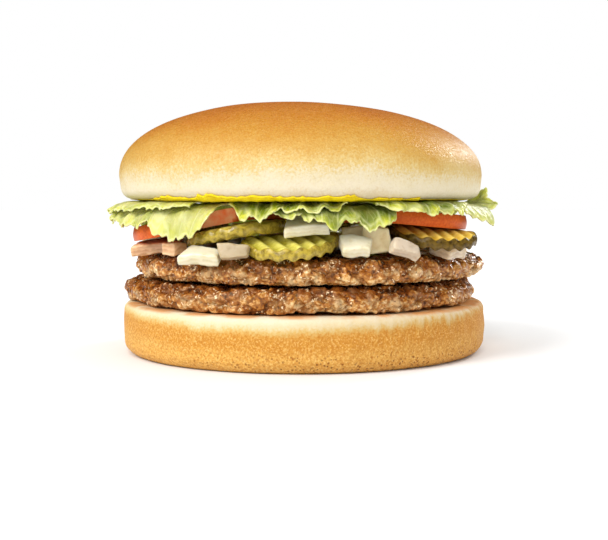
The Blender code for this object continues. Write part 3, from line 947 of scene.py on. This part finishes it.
def onion_paint(name, deep, pale):
    paint = Paint(name)
    cloud = paint.noise(3.5 * MM, 3.0)
    layer = paint.plus(paint.mark("layer"), paint.sway(cloud, 0.6))
    band = paint.math("SINE", paint.times(layer, 4.6))
    share = paint.plus(paint.span(cloud, 0.3, 0.7, 0.1, 0.8), paint.times(band, 0.16))
    colour = paint.mix(share, deep, pale)
    bump = paint.bump(band, 0.06 * MM, 0.5)
    bump = paint.bump(paint.noise(0.7 * MM, 2.0), 0.08 * MM, 0.5, bump)
    paint.soften(0.6, (0.003, 0.0026, 0.0018))
    return paint.finish(Base_Color=colour, Roughness=0.3, Normal=bump, Specular_IOR_Level=0.4)


def pickle_paint(name, skin_dark, skin_light, flesh_dark, flesh_light, gleam):
    paint = Paint(name)
    share = paint.mark("share")
    wander = paint.sway(paint.noise(2.2 * MM, 3.0), 0.012)
    rim = paint.span(paint.plus(share, wander), 0.952, 0.972)
    mottle = paint.noise(1.5 * MM, 4.0, 0.6)
    skin = paint.ramp(mottle, [(0.32, skin_dark), (0.6, skin_light)])
    cloud = paint.noise(2.6 * MM, 4.0, 0.6)
    # Painted light and shade: the flesh is lighter on the crinkles' crests and darker in their troughs.
    crest = paint.span(paint.mark("ridge"), -1.0, 1.0, -0.18, 0.18)
    flesh = paint.mix(paint.span(paint.plus(cloud, crest), 0.2, 0.75), flesh_dark, flesh_light)
    colour = paint.mix(rim, flesh, skin)
    bump = paint.bump(mottle, 0.3 * MM, 0.7)
    bump = paint.bump(paint.noise(0.6 * MM, 2.0), 0.08 * MM, 0.5, bump)
    paint.soften(0.25, (0.002, 0.002, 0.0006))
    return paint.finish(Base_Color=colour, Roughness=0.24, Normal=bump, Specular_IOR_Level=gleam)


def tomato_paint():
    paint = Paint("tomato_flesh_and_skin")
    share = paint.mark("share")
    cut = paint.mark("cut")
    rim = paint.span(share, 0.968, 0.982)
    fleck = paint.noise(0.8 * MM, 3.0, 0.6)
    skin = paint.ramp(fleck, [(0.3, srgb(194, 78, 26)), (0.7, srgb(220, 108, 38))])
    cloud = paint.noise(5 * MM, 3.0)
    flesh = paint.ramp(cloud, [(0.3, srgb(196, 76, 36)), (0.7, srgb(220, 122, 80))])
    pink = paint.ramp(paint.noise(2.6 * MM, 3.0), [(0.3, srgb(255, 122, 66)), (0.7, srgb(255, 184, 134))])
    bare = paint.times(rim, paint.math("SUBTRACT", 1.0, cut))
    colour = paint.mix(cut, flesh, pink)
    colour = paint.mix(bare, colour, skin)
    bump = paint.bump(paint.noise(1.8 * MM, 3.0), 0.12 * MM, 0.5)
    paint.soften(0.1, (0.004, 0.0012, 0.0006))
    return paint.finish(Base_Color=colour, Roughness=0.4, Normal=bump, Specular_IOR_Level=0.12)


def lettuce_paint(name, green):
    """green runs from 0, a pale heart leaf, to 1, an outer leaf."""
    paint = Paint(name + "_green")
    edge = paint.mark("edge")
    along = paint.mark("along")
    cloud = paint.noise(6 * MM, 4.0, 0.6)
    ripple = paint.noise(2.2 * MM, 4.0, 0.6)
    depth = paint.plus(edge, paint.sway(cloud, 2.5))
    depth = paint.plus(depth, paint.sway(ripple, 0.6))
    # Pale at the rim and greener inwards: partly the leaf's own colour, partly painted shade, since the
    # darkest greens lie far from the rim under the bun top.
    pale = paint.ramp(paint.span(depth, 0.0, 12.0), [
        (0.00, srgb(208, 208, 108)),
        (0.12, srgb(200, 200, 90)),
        (0.35, srgb(208, 203, 130)),
        (0.65, srgb(200, 196, 108)),
        (1.00, srgb(168, 174, 62)),
    ])
    deep = paint.ramp(paint.span(depth, 0.0, 12.0), [
        (0.00, srgb(198, 200, 60)),
        (0.10, srgb(162, 168, 36)),
        (0.24, srgb(114, 128, 24)),
        (0.50, srgb(80, 98, 20)),
        (1.00, srgb(56, 72, 16)),
    ])
    patch = paint.span(paint.noise(13 * MM, 2.0), 0.42, 0.62, green - 0.15, green + 0.3)
    colour = paint.mix(patch, pale, deep)
    # Painted shade in the ruffles' valleys, darker where the ruffles turn inwards.
    valley = paint.span(paint.mark("crest"), -0.7, 0.25, 0.35 + 0.35 * green, 0.0)
    colour = paint.mix(valley, colour, srgb(104, 122, 30))
    sheet = paint.node("ShaderNodeCombineXYZ", {"X": along, "Y": paint.times(edge, 0.35)})
    rib = paint.span(paint.net(sheet.outputs[0], 0.16, 0.85), 0.0, 0.07, 1.0, 0.0)
    fine = paint.span(paint.net(sheet.outputs[0], 0.7, 0.9), 0.0, 0.09, 0.45, 0.0)
    vein = paint.math("MAXIMUM", rib, fine)
    colour = paint.mix(paint.times(vein, 0.45), colour, srgb(228, 230, 170))
    ragged = paint.plus(edge, paint.sway(ripple, 0.45))
    # A pale rim: partly the leaf's own colour, partly a painted highlight on its curled edge.
    lip = paint.span(ragged, 0.8, 0.15, 0.0, 0.8)
    lip = paint.times(lip, paint.span(paint.noise(7 * MM, 2.0), 0.35, 0.6, 0.25, 1.0))
    colour = paint.mix(lip, colour, srgb(236, 236, 170))
    bump = paint.bump(vein, 0.3 * MM, 0.6)
    bump = paint.bump(cloud, 0.9 * MM, 0.5, bump)
    bump = paint.bump(ripple, 0.3 * MM, 0.6, bump)
    paint.soften(0.25, (0.0015, 0.002, 0.0005))
    return paint.finish(Base_Color=colour, Roughness=0.4, Normal=bump, Specular_IOR_Level=0.35)


def mustard_paint():
    paint = Paint("mustard_smear")
    cloud = paint.noise(1.6 * MM, 3.0)
    colour = paint.ramp(cloud, [(0.3, srgb(216, 182, 4)), (0.7, srgb(240, 216, 12))])
    bump = paint.bump(cloud, 0.4 * MM, 0.9)
    bump = paint.bump(paint.noise(0.7 * MM, 3.0), 0.25 * MM, 0.8, bump)
    paint.soften(0.15, (0.002, 0.0015, 0.0003))
    return paint.finish(Base_Color=colour, Roughness=0.35, Normal=bump, Specular_IOR_Level=0.25)


# The burger.

def add_buns():
    bottom = add_turned("bun_bottom_crust", bun_bottom_outline, BUN_SEGMENTS, bun_bottom_paint())
    stand_for(bottom, "bun_bottom")
    top = add_turned("bun_top_crust", bun_top_outline, BUN_SEGMENTS, bun_top_paint())
    stand_for(top, "bun_top")


def add_patties():
    beef = beef_paint()
    lower = patty_outline(LOWER_PATTY_BASE, 0.0, (3.1, 0.4, 1.7), 186)
    upper = patty_outline(UPPER_PATTY_BASE, 1.5 * MM, (8.3, 5.2, 2.9), 350)
    for node, outline in (("patty_lower", lower), ("patty_upper", upper)):
        made = add_turned(node + "_meat", outline, PATTY_SEGMENTS, beef)
        stand_for(made, node)


def add_onions():
    white = onion_paint("onion_white", srgb(208, 196, 158), srgb(236, 230, 208))
    cream = onion_paint("onion_cream", srgb(222, 196, 142), srgb(250, 234, 192))
    # The tan and beige onions are partly their own tone and partly painted shade, for pieces that lie in
    # shade under the tomato and pickle slices.
    tan = onion_paint("onion_tan", srgb(184, 134, 92), srgb(238, 202, 160))
    beige = onion_paint("onion_beige", srgb(160, 138, 104), srgb(198, 182, 150))
    rosy = onion_paint("onion_rosy", srgb(184, 162, 136), srgb(220, 206, 184))
    tints = {1: tan, 2: tan, 4: beige, 7: cream, 8: cream, 9: rosy, 10: rosy}
    draw = random.Random(SEED)
    for number, piece in enumerate([*FRONT_ONIONS, *lying_onions(draw)], 1):
        twist = draw.uniform(0, math.tau)
        made = add_onion(f"onion_{number:02d}_piece", piece, twist, tints.get(number, white))
        stand_for(made, f"onion_{number:02d}")


def add_slices():
    tomato = tomato_paint()
    for piece in TOMATOES:
        made = add_turned(piece.name + "_slice", tomato_outline(piece), SLICE_SEGMENTS, tomato)
        stand_for(made, piece.name)
    green = pickle_paint("pickle_green", srgb(116, 96, 26), srgb(190, 166, 60),
                         srgb(190, 176, 54), srgb(244, 234, 122), 0.5)
    amber = pickle_paint("pickle_amber", srgb(60, 44, 12), srgb(110, 86, 32),
                         srgb(206, 164, 46), srgb(246, 216, 108), 0.2)
    for piece, direction in zip(PICKLES, CRINKLE_DIRECTIONS):
        look = amber if piece.name == "pickle_right" else green
        made = add_turned(piece.name + "_slice", pickle_outline(piece, direction), SLICE_SEGMENTS, look)
        stand_for(made, piece.name)


def add_lettuce():
    for leaf, look in zip(LEAVES, LEAF_LOOKS):
        made = add_leaf(leaf, leaf_place(leaf, look), lettuce_paint(leaf.name, look.green))
        stand_for(made, leaf.name)


def add_mustard():
    made = add_turned("mustard_smear", mustard_outline, MUSTARD_SEGMENTS, mustard_paint())
    stand_for(made, "mustard")


# The studio.

WHITE = (1.0, 1.0, 1.0, 1.0)
FLOOR_GREY = (0.8, 0.8, 0.8, 1.0)
FLOOR_SIZE = 8.0
BURGER_MIDDLE = Vector((0, 0, 45 * MM))

# The key light: the side that it shines from, its strength and its spread in degrees.
KEY = ((-0.72, -0.6, 0.85), 1.9, 26)

# Softboxes: where each stands, its size in metres and its power.
SOFTBOXES = (
    ((0.65, 0.72, 0.45), 0.2, 3.7),
    ((-0.15, -0.9, 0.95), 0.16, 2.4),
)

# The camera: in front of the burger at the height of the bun top's underside, looking a little down. Its
# focal length and the picture's width are in dots.
CAMERA_PLACE = (0.7 * MM, -381 * MM, 53.5 * MM)
CAMERA_DIP = 3.87
FOCAL_LENGTH = 1065
PICTURE_WIDTH = 608
SENSOR_WIDTH = 36


def add_floor():
    bpy.ops.mesh.primitive_plane_add(size=FLOOR_SIZE)
    floor = bpy.context.object
    floor.name = "floor"
    grey = Paint("pale_floor").finish(Base_Color=FLOOR_GREY, Roughness=0.9, Specular_IOR_Level=0.1)
    floor.data.materials.append(grey)
    floor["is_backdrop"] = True


def aim(light, place):
    """Puts a light at a place and turns it to the middle of the burger."""
    light.location = place
    direction = BURGER_MIDDLE - Vector(place)
    light.rotation_euler = direction.to_track_quat("-Z", "Y").to_euler()
    bpy.context.scene.collection.objects.link(light)


def add_key(place, strength, spread):
    """The key light: far away, with the soft shadows of a large source."""
    light = bpy.data.objects.new("key", bpy.data.lights.new("key", "SUN"))
    light.data.energy = strength
    light.data.angle = math.radians(spread)
    aim(light, place)


def add_softbox(place, size, power):
    """A square softbox, which also shows as a glint on the bun."""
    light = bpy.data.objects.new("softbox", bpy.data.lights.new("softbox", "AREA"))
    light.data.energy = power
    light.data.size = size
    aim(light, place)


def add_studio():
    world = bpy.data.worlds.new("studio")
    world.use_nodes = True
    backdrop = world.node_tree.nodes["Background"]
    backdrop.inputs["Color"].default_value = WHITE
    backdrop.inputs["Strength"].default_value = 1.0
    world.cycles_visibility.glossy = False
    scene = bpy.context.scene
    scene.world = world
    scene.view_settings.view_transform = "Standard"
    add_floor()
    add_key(*KEY)
    for softbox in SOFTBOXES:
        add_softbox(*softbox)


def add_camera():
    """A camera that sees the burger as the photograph does."""
    camera = bpy.data.objects.new("camera", bpy.data.cameras.new("camera"))
    camera.data.sensor_fit = "HORIZONTAL"
    camera.data.sensor_width = SENSOR_WIDTH
    camera.data.lens = SENSOR_WIDTH * FOCAL_LENGTH / PICTURE_WIDTH
    camera.location = CAMERA_PLACE
    camera.rotation_euler = (math.radians(90 - CAMERA_DIP), 0, 0)
    bpy.context.scene.collection.objects.link(camera)
    bpy.context.scene.camera = camera


def write_size():
    """Works out the box of the solids and the box of the looks, in metres, as plain lists."""
    boxes = {"cad": CAD_BOX, "visual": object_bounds()}
    plain = {name: [list(corner) for corner in box] for name, box in boxes.items()}


add_camera()
add_studio()
add_buns()
add_patties()
add_onions()
add_slices()
add_lettuce()
add_mustard()
write_size()
